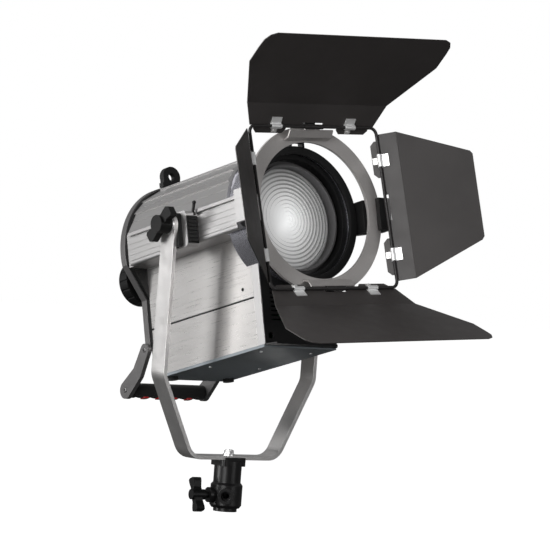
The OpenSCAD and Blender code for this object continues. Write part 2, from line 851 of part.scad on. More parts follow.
module fan_frame() {
    half = 35;
    color("#202020") head() {
        difference() {
            slab([-half, half], [back_f, back_f + 15], [axis_u - half, axis_u + half]);
            rod_ahead(back_f - 1, 17, 32.5);
            for (sx = [-1, 1], su = [-1, 1])
                rod_ahead(back_f - 1, 17, 2, sx * (half - 4), axis_u + su * (half - 4));
        }
        for (a = [45, 135]) translate([0, -back_f, axis_u]) rotate([90, 0, 0]) rotate(a)
            translate([-33, -2, 0]) cube([66, 4, 2]);
        rod_ahead(back_f, 2.5, 10);
        rod_ahead(back_f, 11, 3);
    }
}

module fan_impeller() {
    color("#2a2a2a") head() difference() {
        union() {
            rod_ahead(back_f + 3.5, 10, 13);
            for (k = [0:6]) translate([0, -back_f - 3.8, axis_u]) rotate([90, 0, 0]) rotate(k * 360 / 7)
                translate([12, 0, 4.6]) rotate([38, 0, 0]) translate([0, -6, -0.6]) cube([19, 11.5, 1.2]);
        }
        rod_ahead(back_f + 2, 10, 3 + run);
    }
}

// Power supply case and the driver board above it
module driver_electronics() {
    color("darkgreen") head() {
        slab([-40, 40], [-110, 40], [-98, -96.4]);
        for (k = [0:3]) slab([-30 + k * 17, -20 + k * 17], [-60, -40], [-96.4, -84]);
        for (k = [0:2]) translate([-24 + k * 24, 10, -96.4]) cylinder(h = 16, r = 7);
    }
    color("silver") head() {
        slab([-45, 45], [-112, 60], [-158, -118]);
        for (x = [-36, 36], f = [-104, 34]) translate([x, -f, -118]) cylinder(h = 20, r = 3);
    }
}

// ---------------------------------------------------------------- rear controls

module display_panel() {
    color("#10233a") head() difference() {
        slab([-14, 42], [cover_f - 3, cover_f], [-92, -58]);
        slab([-9, 37], [cover_f - 4, cover_f - 1.6], [-86, -64]);
    }
}

module dimmer_knob() {
    color("#131313") head() difference() {
        union() {
            rod_ahead(cover_f - 14, 13.5, 9, 26, -118);
            rod_ahead(cover_f - 2, cover_t + 6, 3, 26, -118);
        }
        for (k = [0:11])
            rod_ahead(cover_f - 16, 12, 0.9, 26 + 9.3 * cos(k * 30), -118 + 9.3 * sin(k * 30));
    }
}

module power_switch() {
    color("#131313") head() translate([0, 0, -118]) across(-35.7, 21.4) polygon([
        [-back_f + 0.5, -5.4], [-back_f + 0.5, 5.4], [-cover_f + 3.2, 5.2], [-cover_f + 1.2, 0],
        [-cover_f + 1.2, -5.2]]);
}

module mode_button() {
    color("#303030") head() slab([-3.3, 3.3], [cover_f - 2.5, back_f - 1], [-121.3, -114.7]);
}

module power_inlet() {
    color("#101010") head() difference() {
        union() {
            slab([-13.9, 13.9], [cover_f - 1, back_f + 12], [-151.9, -132.1]);
            slab([-20, 20], [cover_f - 3, cover_f], [-154, -130]);
        }
        slab([-11.5, 11.5], [cover_f - 4, back_f + 8], [-149, -135]);
    }
    color("silver") head() for (k = [-1, 0, 1])
        slab([k * 7 - 1, k * 7 + 1], [cover_f + 1, back_f + 8], [-144 + abs(k) - 2, -140 + abs(k)]);
}

// ---------------------------------------------------------------- barn door

module barn_ring() {
    color("#6f6c6d") barn() {
        difference() {
            translate([0, -ring_f, 0]) rotate([90, 0, 0]) cylinder(h = ring_t, r = ring_ro, $fn = 96);
            translate([0, -ring_f + 1, 0]) rotate([90, 0, 0]) cylinder(h = ring_t + 2, r = ring_ri, $fn = 96);
        }
        // Two brackets that carry the wire frame
        for (s = [0, 180]) rotate([0, s, 0]) {
            across(-11, 22) polygon([
                [-ring_f - ring_t, 90], [-ring_f - ring_t, 92.5],
                [-wire_f + 2.8, wire_half - 1.5], [-wire_f + 1.5, wire_half - 2.8],
                [-ring_f - ring_t - 2, 90]]);
            // Kinked, so that its ends pass inside the channels' lips
            across(-34, 68) polygon([
                [-ring_f - ring_t + 0.5, 86.3], [-ring_f - ring_t + 0.5, 88.2], [-145.6, 90.1],
                [-wire_f + 4.2, wire_half - 2.4], [-wire_f + 3, wire_half - 3.8], [-146.8, 88.3],
                [-ring_f - ring_t - 2, 86.3]]);
        }
    }
}

// Square frame bent from round wire, welded into a short sleeve at its top and bottom
module wire_frame() {
    corner = 9;
    color("#403e3e") barn() translate([0, -wire_f, 0]) {
        for (k = [0:3]) rotate([0, 90 * k, 0]) {
            translate([-wire_half + corner, 0, wire_half]) rotate([0, 90, 0])
                cylinder(h = 2 * (wire_half - corner), r = wire_r);
            translate([wire_half - corner, 0, wire_half - corner]) rotate([90, 0, 0])
                rotate_extrude(angle = 90) translate([corner, 0]) circle(wire_r);
        }
        for (s = [0, 180]) rotate([0, s, 0]) translate([-15, 0, wire_half]) rotate([0, 90, 0])
            difference() {
                cylinder(h = 30, r = 3);
                translate([0, 0, -1]) cylinder(h = 32, r = wire_r);
            }
    }
}

// Places a leaf's frame on the wire: the sheet runs along -y, opened by a from straight ahead
module on_wire(turn, a) {
    barn() rotate([0, turn, 0]) translate([0, -wire_f, wire_half]) rotate([-a, 0, 0]) children();
}

// Bent leaf: half-width w[0] at the hinge, w[1] at the bend, then an outline beyond it
module leaf_sheet(w, len1, bend, outer, tab_w, tab_gap, clip_x) {
    chamfer = 5;
    translate([0, 0, sheet_off]) {
        difference() {
            translate([0, 0, -leaf_t / 2]) linear_extrude(leaf_t) {
                polygon([[-w[0], 0], [w[0], 0], [w[1], -len1], [-w[1], -len1]]);
                for (s = [-1, 1]) polygon([
                    [s * tab_w, -1], [s * tab_gap, -1], [s * tab_gap, tab_reach - chamfer],
                    [s * (tab_gap + chamfer), tab_reach], [s * (tab_w - chamfer), tab_reach],
                    [s * tab_w, tab_reach - chamfer]]);
            }
            for (s = [-1, 1]) translate([s * clip_x - clip_w / 2 - 0.3, -clip_r - 0.3, -3])
                cube([clip_w + 0.6, 2 * clip_r + 0.6, 6]);
            translate([-sleeve_notch, -4.2, -3]) cube([2 * sleeve_notch, 8, 6]);
        }
        translate([-w[1], -len1, 0]) rotate([0, 90, 0]) cylinder(h = 2 * w[1], r = bead_r, $fn = 24);
        translate([0, -len1, 0]) rotate([bend, 0, 0]) translate([0, 0, -leaf_t / 2])
            linear_extrude(leaf_t) polygon(concat([[-w[1], 0], [w[1], 0]], outer));
    }
}

// Outer part of a large leaf: it widens, then its corners are cut and rounded
big_outer = [
    [147, -wide_len], [147, -92], [146, -104], [141, -112], [132, -outer_len],
    [-132, -outer_len], [-141, -112], [-146, -104], [-147, -92], [-147, -wide_len]
];

side_outer = [
    [56, -side_len + 3], [52, -side_len], [-52, -side_len], [-56, -side_len + 3]
];

module big_leaf(turn, a, bend) {
    color("#2e2a29") on_wire(turn, a)
        leaf_sheet([97, 110], inner_len, bend, big_outer, 90, 40, big_clip_x);
}

module side_leaf(turn, a) {
    color("#3a3634") on_wire(turn, a)
        leaf_sheet([92, 92], side_inner, side_bend, side_outer, 84, 38, side_clip_x);
}

module top_leaf() {
    big_leaf(0, top_open, top_bend);
}

module bottom_leaf() {
    big_leaf(180, bottom_open, bottom_bend);
}

module left_leaf() {
    side_leaf(-90, side_open);
}

module right_leaf() {
    side_leaf(90, side_open);
}

// Two bright clips that hang a leaf on the wire
module clips(turn, a, clip_x) {
    plate_t = 1;
    plate_z = sheet_off - leaf_t / 2 - plate_t;
    color("gainsboro") on_wire(turn, a) for (s = [-1, 1]) translate([s * clip_x, 0, 0]) {
        difference() {
            union() {
                translate([-clip_w / 2, 0, 0]) rotate([0, 90, 0]) cylinder(h = clip_w, r = clip_r, $fn = 48);
                translate([-clip_w / 2, -11, plate_z]) cube([clip_w, 11, plate_t]);
                translate([-4, 0, plate_z]) cube([8, 9, plate_t]);
            }
            translate([-clip_w / 2 - 1, 0, 0]) rotate([0, 90, 0])
                cylinder(h = clip_w + 2, r = wire_r + run, $fn = 48);
        }
        translate([0, 6.2, plate_z - 1.2]) cylinder(h = 1.3, r = 2);
    }
}

module top_clips() {
    clips(0, top_open, big_clip_x);
}

module bottom_clips() {
    clips(180, bottom_open, big_clip_x);
}

module left_clips() {
    clips(-90, side_open, side_clip_x);
}

module right_clips() {
    clips(90, side_open, side_clip_x);
}

// ---------------------------------------------------------------- nodes

yoke_strap();
receiver();
yoke_fasteners();
clamp_pad();
clamp_screw();
tilt_knob_washer();
tilt_knob();
left_bracket();
right_bracket();
friction_discs();
bracket_covers();
rail_lock_lever();
upper_housing();
side_rails();
left_side_panel();
right_side_panel();
lower_side_panels();
corner_posts();
base_plate();
base_feet();
front_frame();
front_collar();
lens_barrel();
lens_hood();
fresnel_lens();
lens_retainer();
ear_arms();
ear_channels();
ring_latch();
rear_cover();
rear_frame();
safety_loop();
handle_arms();
handle_grip();
grip_inserts();
led_module();
reflector();
heat_sink();
carriage();
guide_rods();
lead_screw();
focus_knob();
fan_frame();
fan_impeller();
driver_electronics();
display_panel();
dimmer_knob();
power_switch();
mode_button();
power_inlet();
barn_ring();
wire_frame();
top_leaf();
bottom_leaf();
left_leaf();
right_leaf();
top_clips();
bottom_clips();
left_clips();
right_clips();
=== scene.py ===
"""Fresnel spotlight: materials, small details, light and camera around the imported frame.

Lengths in this file are millimetres in the part's own frames, and MM turns them into metres.
"""
import json
import math

import bmesh
import bpy
from mathutils import Matrix, Vector


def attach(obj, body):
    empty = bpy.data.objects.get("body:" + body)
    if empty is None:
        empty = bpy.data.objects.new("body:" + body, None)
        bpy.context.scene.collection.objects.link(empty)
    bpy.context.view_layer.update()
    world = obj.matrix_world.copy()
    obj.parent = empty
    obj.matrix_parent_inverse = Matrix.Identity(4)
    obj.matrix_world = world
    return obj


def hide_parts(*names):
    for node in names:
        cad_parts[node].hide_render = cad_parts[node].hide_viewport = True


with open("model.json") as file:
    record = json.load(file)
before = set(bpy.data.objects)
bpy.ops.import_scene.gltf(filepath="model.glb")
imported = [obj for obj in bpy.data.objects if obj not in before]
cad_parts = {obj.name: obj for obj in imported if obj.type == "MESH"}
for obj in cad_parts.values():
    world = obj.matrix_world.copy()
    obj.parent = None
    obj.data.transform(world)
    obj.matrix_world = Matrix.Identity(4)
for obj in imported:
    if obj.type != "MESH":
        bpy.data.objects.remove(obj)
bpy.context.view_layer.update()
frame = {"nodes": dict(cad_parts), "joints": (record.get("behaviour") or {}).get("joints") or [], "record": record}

MM = 0.001
NODES = frame["nodes"]
JOINTS = {j["name"]: j for j in frame["joints"]}
X_AXIS = Vector((1, 0, 0))

# ------------------------------------------------------------------ places


def axes(origin, x, y, z):
    """Matrix that takes (x, y, z) in a local frame to the row frame."""
    m = Matrix.Identity(4)
    for column, axis in enumerate((x, y, z)):
        m.col[column][:3] = axis.normalized()
    m.translation = origin
    return m


# The head's own frame: x across, y backwards along the beam, z up through the housing
PIVOT = Vector(JOINTS["head_tilt"]["pos_m"])
BEAM = Vector(JOINTS["balance_slide"]["axis"])
HEAD = axes(PIVOT, X_AXIS, -BEAM, X_AXIS.cross(-BEAM))


def at_head(x, f, u):
    """Row-frame point of (across, forwards, up) in the head."""
    return HEAD @ Vector((x * MM, -f * MM, u * MM))


def head_dir(x, f, u):
    return (HEAD.to_3x3() @ Vector((x, -f, u))).normalized()


# The optical axis in the head's frame, and the barn door's frame on it
AXIS_U = (HEAD.inverted() @ Vector(JOINTS["barn_door_turn"]["pos_m"])).z / MM
WIRE_POS = {k: Vector(JOINTS[k + "_door_swing"]["pos_m"]) for k in ("top", "bottom", "left", "right")}
BARN = axes(
    (WIRE_POS["top"] + WIRE_POS["bottom"]) / 2,
    WIRE_POS["right"] - WIRE_POS["left"],
    -BEAM,
    WIRE_POS["top"] - WIRE_POS["bottom"],
)

# ------------------------------------------------------------------ mesh helpers


def new_object(name, bm, material, body, smooth=40):
    """Turns a bmesh in the row frame into a piece that rides on a body."""
    mesh = bpy.data.meshes.new(name)
    bmesh.ops.recalc_face_normals(bm, faces=bm.faces)
    bm.to_mesh(mesh)
    bm.free()
    mesh.shade_smooth()
    mesh.set_sharp_from_angle(angle=math.radians(smooth))
    obj = bpy.data.objects.new(name, mesh)
    bpy.context.scene.collection.objects.link(obj)
    mesh.materials.append(material)
    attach(obj, body)
    return obj


def frame_at(point, normal, spin=0.0):
    """Matrix at a point with local z along normal."""
    turn = Vector((0, 0, 1)).rotation_difference(normal.normalized()).to_matrix().to_4x4()
    return Matrix.Translation(point) @ turn @ Matrix.Rotation(spin, 4, "Z")


def add_turned(bm, place, rings, segments=32):
    """Adds a closed turned shape. Each ring is (radius, height), or (radius, height, sides) if angular."""
    loops = []
    for ring in rings:
        radius, height = ring[0], ring[1]
        sides = ring[2] if len(ring) > 2 else 0
        loop = []
        for k in range(segments):
            a = 2 * math.pi * k / segments
            r = radius
            if sides:
                half = math.pi / sides
                r = radius * math.cos(half) / math.cos((a + half) % (2 * half) - half)
            loop.append(bm.verts.new(place @ (Vector((r * math.cos(a), r * math.sin(a), height)) * MM)))
        loops.append(loop)
    for low, high in zip(loops, loops[1:]):
        for k in range(segments):
            n = (k + 1) % segments
            bm.faces.new((low[k], low[n], high[n], high[k]))
    bm.faces.new(list(reversed(loops[0])))
    bm.faces.new(loops[-1])


def add_socket_screw(bm, place, r):
    """Low button head with a hexagon socket."""
    add_turned(bm, place, [
        (r, -0.4), (r, 0.25), (r * 0.93, 0.55), (r * 0.78, 0.85), (r * 0.6, 1.0),
        (r * 0.5, 1.0, 6), (r * 0.46, 0.1, 6)])


def add_rivet(bm, place, r, h):
    """Domed rivet head with a small flat."""
    add_turned(bm, place, [
        (r, -0.3), (r, 0.15), (r * 0.9, h * 0.55), (r * 0.62, h * 0.88), (r * 0.25, h)], 24)


def screws(name, body, spots, material, r=3.0):
    """One piece holding a group of equal screws at [(point, normal), ...]."""
    bm = bmesh.new()
    for n, (point, normal) in enumerate(spots):
        add_socket_screw(bm, frame_at(point, normal, 0.4 * n), r)
    return new_object(name, bm, material, body)


def add_tube(bm, points, radius, segments=12):
    """Round tube through a list of row-frame points, closed at both ends."""
    loops = []
    up = Vector((0.3, 0.2, 1)).normalized()
    for i, p in enumerate(points):
        ahead = points[min(i + 1, len(points) - 1)] - points[max(i - 1, 0)]
        t = ahead.normalized()
        side = t.cross(up).normalized()
        up = side.cross(t).normalized()
        loops.append([
            bm.verts.new(p + (side * math.cos(a) + up * math.sin(a)) * radius * MM)
            for a in (2 * math.pi * k / segments for k in range(segments))])
    for low, high in zip(loops, loops[1:]):
        for k in range(segments):
            n = (k + 1) % segments
            bm.faces.new((low[k], low[n], high[n], high[k]))
    bm.faces.new(list(reversed(loops[0])))
    bm.faces.new(loops[-1])


# ------------------------------------------------------------------ materials


class Nodes:
    """A material's node tree with short ways to add and link nodes."""

    def __init__(self, name):
        self.material = bpy.data.materials.new(name)
        self.material.use_nodes = True
        self.tree = self.material.node_tree
        self.shader = next(n for n in self.tree.nodes if n.type == "BSDF_PRINCIPLED")
        self.coords = self.add("ShaderNodeTexCoord").outputs["Object"]

    def add(self, kind, **values):
        node = self.tree.nodes.new(kind)
        for key, value in values.items():
            if key in node.inputs:
                node.inputs[key].default_value = value
            else:
                setattr(node, key, value)
        return node

    def link(self, a, b):
        self.tree.links.new(a, b)

    def stretched(self, scale, tilt=0.0):
        """Object coordinates scaled per axis, after turning by tilt about x."""
        turn = self.add("ShaderNodeMapping")
        turn.inputs["Rotation"].default_value = (tilt, 0, 0)
        grow = self.add("ShaderNodeMapping")
        grow.inputs["Scale"].default_value = scale
        self.link(self.coords, turn.inputs["Vector"])
        self.link(turn.outputs["Vector"], grow.inputs["Vector"])
        return grow.outputs["Vector"]

    def noise(self, scale, detail=3.0, rough=0.5, coords=None):
        node = self.add("ShaderNodeTexNoise", Scale=scale, Detail=detail, Roughness=rough)
        self.link(coords or self.coords, node.inputs["Vector"])
        return node.outputs["Fac"]

    def ramp(self, value, low, high, at=(0.3, 0.7)):
        node = self.add("ShaderNodeValToRGB")
        for stop, where, colour in zip(node.color_ramp.elements, at, (low, high)):
            stop.position = where
            stop.color = (*colour, 1)
        self.link(value, node.inputs["Fac"])
        return node.outputs["Color"]

    def to_range(self, value, low, high):
        node = self.add("ShaderNodeMapRange")
        node.inputs["To Min"].default_value = low
        node.inputs["To Max"].default_value = high
        self.link(value, node.inputs["Value"])
        return node.outputs["Result"]

    def mix(self, factor, a, b):
        node = self.add("ShaderNodeMix", data_type="RGBA")
        self.link(factor, node.inputs["Factor"])
        for value, socket in ((a, node.inputs[6]), (b, node.inputs[7])):
            if isinstance(value, tuple):
                socket.default_value = (*value, 1)
            else:
                self.link(value, socket)
        return node.outputs[2]

    def edges(self, low=0.51, high=0.6):
        """Factor that rises along convex edges."""
        geometry = self.add("ShaderNodeNewGeometry")
        node = self.add("ShaderNodeMapRange")
        node.inputs["From Min"].default_value = low
        node.inputs["From Max"].default_value = high
        self.link(geometry.outputs["Pointiness"], node.inputs["Value"])
        return node.outputs["Result"]

    def bump(self, heights, bevel=0.0):
        """Chains bumps given as (height, strength, distance in mm), over softened edges."""
        normal = None
        if bevel:
            soft = self.add("ShaderNodeBevel", samples=4, Radius=bevel * MM)
            normal = soft.outputs["Normal"]
        for height, strength, distance in heights:
            node = self.add("ShaderNodeBump", Strength=strength, Distance=distance * MM)
            self.link(height, node.inputs["Height"])
            if normal:
                self.link(normal, node.inputs["Normal"])
            normal = node.outputs["Normal"]
        if normal:
            self.link(normal, self.shader.inputs["Normal"])

    def set(self, **values):
        for key, value in values.items():
            self.shader.inputs[key.replace("_", " ")].default_value = value


def shade(colour, k):
    return tuple(min(1.0, c * k) for c in colour)


def painted(name, colour, rough=0.45, metallic=0.0, grain=0.25, spread=0.14, gloss=0.5):
    """Powder coat or enamel: fine orange peel, slow colour drift, and a painted highlight that lightens convex
    edges in fine patches.
    """
    # Gain of the painted edge highlight, and the bevel radius in mm
    edge_highlight_gain, bevel = 1.35, 0.35
    n = Nodes(name)
    drift = n.noise(14, 4)
    base = n.ramp(drift, shade(colour, 1 - spread), shade(colour, 1 + spread))
    # Painted highlight: convex edges lightened, broken up by fine noise
    edge = n.edges()
    edge_highlight_patches = n.noise(900, 2)
    factor = n.add("ShaderNodeMath", operation="MULTIPLY")
    n.link(edge, factor.inputs[0])
    n.link(edge_highlight_patches, factor.inputs[1])
    n.link(n.mix(factor.outputs[0], base, shade(colour, edge_highlight_gain)), n.shader.inputs["Base Color"])
    n.link(n.to_range(n.noise(60, 4), rough - 0.06, rough + 0.08), n.shader.inputs["Roughness"])
    n.bump([(n.noise(1800, 2), grain, 0.06), (n.noise(160, 2), grain * 0.4, 0.05)], bevel)
    n.set(Metallic=metallic, Specular_IOR_Level=gloss)
    return n.material


def moulded(name, colour, rough=0.5, spark=0.5, bevel=0.5, sheen=0.0, gloss=0.3):
    """Moulded plastic or rubber with a spark-eroded grain, and sheen for rubber."""
    n = Nodes(name)
    base = n.ramp(n.noise(25, 4), shade(colour, 0.82), shade(colour, 1.2))
    n.link(base, n.shader.inputs["Base Color"])
    n.link(n.to_range(n.noise(120, 4), rough - 0.08, rough + 0.1), n.shader.inputs["Roughness"])
    cells = n.add("ShaderNodeTexVoronoi", Scale=2200)
    n.link(n.coords, cells.inputs["Vector"])
    n.bump([(cells.outputs["Distance"], spark, 0.05)], bevel)
    n.set(Sheen_Weight=sheen, Specular_IOR_Level=gloss)
    return n.material


def brushed(name, colour, rough=0.35, metallic=0.85, scale=(2600, 26, 2600), tilt=0.0,
            strength=0.3, band=0.1):
    """Anodised or brushed metal: fine lines along the axis with the smallest scale, soft bands, and a painted
    highlight on convex edges.
    """
    # Bevel radius in mm, and gain of the painted edge highlight
    bevel, edge_highlight_gain = 0.3, 1.3
    n = Nodes(name)
    lines = n.noise(1, 4, 0.6, n.stretched(scale, tilt))
    clouds = n.noise(7, 3)
    tone = n.add("ShaderNodeMath", operation="MULTIPLY_ADD")
    n.link(lines, tone.inputs[0])
    tone.inputs[1].default_value = 0.45
    n.link(n.to_range(clouds, 0.15, 0.4), tone.inputs[2])
    base = n.ramp(tone.outputs[0], shade(colour, 1 - band), shade(colour, 1 + band), (0.3, 0.75))
    # Painted highlight: convex edges lightened
    n.link(n.mix(n.edges(0.515, 0.62), base, shade(colour, edge_highlight_gain)), n.shader.inputs["Base Color"])
    n.link(n.to_range(lines, rough - 0.07, rough + 0.1), n.shader.inputs["Roughness"])
    n.bump([(lines, strength, 0.03)], bevel)
    n.set(Metallic=metallic)
    return n.material


# Angle of the beam above the level, which the sheet metal's lines follow
TILT = math.atan2(BEAM.z, -BEAM.y)

# One material for each slot in the record
M = {
    "yoke_paint": painted("yoke_enamel", (0.66, 0.648, 0.64), 0.3, 0.95),
    "cast_gunmetal": painted(
        "receiver_gunmetal", (0.006, 0.0058, 0.006), 0.3, 0.0, 0.6, 0.25, gloss=0.35),
    "bright_steel": brushed("zinc_plated_steel", (0.72, 0.72, 0.72), 0.28, 1.0, (400, 400, 1500)),
    "black_plastic": moulded("black_moulding", (0.005, 0.005, 0.005), 0.4, gloss=0.22),
    "silver_anodised": brushed("dome_anodised", (0.47, 0.463, 0.461), 0.3, 0.9, tilt=TILT),
    "black_rubber": moulded("black_rubber", (0.01, 0.01, 0.01), 0.7, 0.8, 0.6, 0.1, 0.2),
    "side_sheet": brushed(
        "side_anodised", (0.53, 0.517, 0.508), 0.28, 0.9, (26, 26, 1800), TILT, 0.12, 0.06),
    "slate_paint": painted("base_slate", (0.17, 0.19, 0.205), 0.5, gloss=0.35),
    "black_paint": painted("black_heatproof", (0.008, 0.008, 0.0083), 0.42, 0.0, 0.4, 0.2, gloss=0.3),
    "grey_anodised": brushed(
        "collar_anodised", (0.5, 0.5, 0.55), 0.26, 0.95, (1200, 1200, 1200), 0.0, 0.12),
    "retainer_grey": brushed("retainer_anodised", (0.16, 0.157, 0.16), 0.3, 0.8, (900, 900, 900)),
    "frame_grey": painted("frame_grey", (0.12, 0.117, 0.117), 0.34, 0.6),
    "red_plastic": moulded("red_moulding", (0.45, 0.01, 0.008), 0.3, 0.2, gloss=0.5),
    "led_board": moulded("phosphor_board", (0.85, 0.62, 0.12), 0.4),
    "reflector_mirror": brushed("spun_reflector", (0.88, 0.88, 0.89), 0.1, 1.0, (60, 60, 60), 0.0, 0.05),
    "heat_sink_alu": brushed("bare_aluminium", (0.62, 0.62, 0.63), 0.35, 1.0),
    "circuit_board": moulded("board_green", (0.02, 0.13, 0.05), 0.35, 0.3),
    "display_glass": moulded("display_window", (0.012, 0.018, 0.03), 0.12, 0.05, gloss=0.5),
    "ring_grey": painted("ring_grey", (0.43, 0.412, 0.403), 0.42, 0.6, 0.5),
    "wire_black": painted("wire_black", (0.03, 0.028, 0.028), 0.38, 0.3, 0.4, gloss=0.4),
    "leaf_black": painted("leaf_black", (0.04, 0.036, 0.035), 0.45, 0.0, 0.5, 0.16, gloss=0.42),
    "nickel": brushed("nickel_plate", (0.8, 0.79, 0.775), 0.42, 0.7, (700, 700, 700), 0.0, 0.1),
}

SHARP_DEG = 28
SLOT_OF = {part["node"]: part["material_slot"] for part in frame["record"]["subparts"]}

for node, obj in NODES.items():
    if SLOT_OF[node] in M:
        obj.data.materials.clear()
        obj.data.materials.append(M[SLOT_OF[node]])
    obj.data.shade_smooth()
    obj.data.set_sharp_from_angle(angle=math.radians(SHARP_DEG))


# ------------------------------------------------------------------ lens

# Forward places of the lens's two faces, its radius and its number of steps
LENS_FRONT = 86.4
LENS_BACK = 80.2
LENS_R = 64.6
LENS_ZONES = 13


def lens_painted_light():
    """Stepped glass with painted light: painted pale ridges and dark steps for the light the rings reflect, a
    painted near-white highlight at the centre, and a painted glow that fades outwards.
    """
    n = Nodes("stepped_glass_painted_light")
    centre = at_head(0, LENS_FRONT, AXIS_U)
    offset = n.add("ShaderNodeVectorMath", operation="SUBTRACT")
    offset.inputs[1].default_value = centre
    n.link(n.coords, offset.inputs[0])
    across = n.add("ShaderNodeVectorMath", operation="CROSS_PRODUCT")
    across.inputs[1].default_value = BEAM
    n.link(offset.outputs[0], across.inputs[0])
    radial = n.add("ShaderNodeVectorMath", operation="LENGTH")
    n.link(across.outputs[0], radial.inputs[0])
    zone = n.add("ShaderNodeMath", operation="MULTIPLY")
    zone.inputs[1].default_value = LENS_ZONES / (LENS_R * MM)
    n.link(radial.outputs["Value"], zone.inputs[0])
    phase = n.add("ShaderNodeMath", operation="FRACT")
    n.link(zone.outputs[0], phase.inputs[0])
    # Painted shade and highlight of the rings: pale ridges, dark steps between them
    ring_painted_shade = n.add("ShaderNodeValToRGB")
    ramp = ring_painted_shade.color_ramp
    ramp.elements[0].position, ramp.elements[0].color = 0.0, (0.2, 0.2, 0.2, 1)
    ramp.elements[1].position, ramp.elements[1].color = 1.0, (0.16, 0.16, 0.16, 1)
    for where, tone in ((0.18, 0.75), (0.45, 1.0), (0.8, 0.6)):
        stop = ramp.elements.new(where)
        stop.color = (tone, tone, tone, 1)
    n.link(phase.outputs[0], ring_painted_shade.inputs["Fac"])

    def over_radius(start, end, at_start, at_end):
        """Value that runs from at_start to at_end between two radii in millimetres."""
        node = n.add("ShaderNodeMapRange")
        for key, value in (("From Min", start * MM), ("From Max", end * MM),
                           ("To Min", at_start), ("To Max", at_end)):
            node.inputs[key].default_value = value
        n.link(radial.outputs["Value"], node.inputs["Value"])
        return node.outputs["Result"]

    # Painted highlight: near white at the centre, the painted rings further out
    rings_painted_light = n.mix(over_radius(4, 40, 0.25, 0.95), (0.93, 0.94, 0.94), ring_painted_shade.outputs["Color"])
    n.link(rings_painted_light, n.shader.inputs["Base Color"])
    # Painted glow: the glass gives off its painted colour though the lamp is not lit, most strongly at the centre
    n.link(rings_painted_light, n.shader.inputs["Emission Color"])
    n.link(over_radius(0, 62, 0.62, 0.03), n.shader.inputs["Emission Strength"])
    n.link(n.to_range(n.noise(180, 2), 0.24, 0.34), n.shader.inputs["Roughness"])
    n.set(IOR=1.5)
    n.bump([(n.noise(700, 2), 0.06, 0.04)])
    return n.material


def make_lens():
    """Stepped lens: each ring slopes outwards more steeply, then steps back up."""
    rim_t, rim_step = 2.6, 0.8
    top = LENS_FRONT - LENS_BACK - 0.2
    rings = [(LENS_R, 0.0), (LENS_R, rim_t)]
    for k in reversed(range(LENS_ZONES)):
        outer = LENS_R * (k + 1) / LENS_ZONES - (rim_step if k == LENS_ZONES - 1 else 0.0)
        inner = LENS_R * k / LENS_ZONES
        rise = 1.0 + 2.4 * (k + 0.5) / LENS_ZONES
        rings.append((outer, top - rise))
        rings.append(((outer + inner) / 2, top - rise * 0.42))
        rings.append((max(inner, 0.4) + 0.35, top))
    bm = bmesh.new()
    place = frame_at(at_head(0, LENS_BACK, AXIS_U), BEAM)
    add_turned(bm, place, rings, 128)
    lens = new_object("stepped_lens", bm, lens_painted_light(), "head", 24)
    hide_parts("fresnel_lens")


make_lens()

# ------------------------------------------------------------------ small details

# Opening of each leaf at rest, in degrees from straight ahead
OPEN = {"top": 54, "bottom": 51, "left": 40, "right": 40}
# Places of each leaf's clips along the wire, their rivets across it, and the leaf's outer face
CLIP_X = {"top": 58, "bottom": 58, "left": 59, "right": 59}
CLIP_RIVET_Y = (-7, 6.2)
LEAF_OUTER = 3.05

# Places on the head: seam between the side panels, underside of the base, back of the rear cover
SEAM_U = -102.7
BASE_U = -166
REAR_F = -139
# Dark strips of painted shade: (across, radius) of the one in the seam gap, and of the upright one in the gap
# behind each ear
SEAM_SHADE_STRIP = (54.7, 1.02)
SEAM_SHADE_STRIP_F = (-132, -60, 10, 73)
EAR_SHADE_STRIP = (90.1, 0.7)
EAR_SHADE_STRIP_F = 98.05
EAR_SHADE_STRIP_U = (-24, -10, 5, 14)
# Screws as (across, forwards, up) on one side of the head, with the same on the other side
PANEL_SCREWS = [(56.5, 54.4, -89.2)]
BASE_SCREWS = [(39, 57.4, BASE_U), (39, -45.5, BASE_U)]
EAR_SCREWS = [(91.8, 100.1, 7.5), (91.8, 100.1, -18.5)]
HANDLE_SCREWS = [(64, -191, -170), (64, -144, -127)]
COVER_SCREWS = [(45, REAR_F, -64), (45, REAR_F, -156), (64, REAR_F, 22)]
FAN_SCREWS = [(31, REAR_F, AXIS_U + 36), (31, REAR_F, AXIS_U - 36)]
# Ways that the screw heads face
OUTWARDS = (1, 0, 0)
DOWNWARDS = (0, 0, -1)
BACKWARDS = (0, -1, 0)
EAR_FACE = (28, -25, 0)


def on_leaf(kind, x, y, z):
    """Point and outward normal on a leaf: x along the wire, y inwards from it, z off the wire."""
    outward = (WIRE_POS[kind] - BARN.translation).normalized()
    a = math.radians(OPEN[kind])
    ahead = BEAM * math.cos(a) + outward * math.sin(a)
    normal = outward * math.cos(a) - BEAM * math.sin(a)
    along = ahead.cross(normal)
    return WIRE_POS[kind] + (along * x - ahead * y + normal * z) * MM, normal


def rivets(name, body, spots, r, h):
    """One piece holding a group of equal rivets at [(point, normal), ...]."""
    bm = bmesh.new()
    for point, normal in spots:
        add_rivet(bm, frame_at(point, normal), r, h)
    return new_object(name, bm, M["nickel"], body)


def head_screws(name, places, facing, slot, r):
    """Equal screws at the given places on the left and on the right of the head."""
    nx, nf, nu = facing
    spots = [(at_head(s * x, f, u), head_dir(s * nx, nf, nu)) for x, f, u in places for s in (-1, 1)]
    return screws(name, "head", spots, M[slot], r)


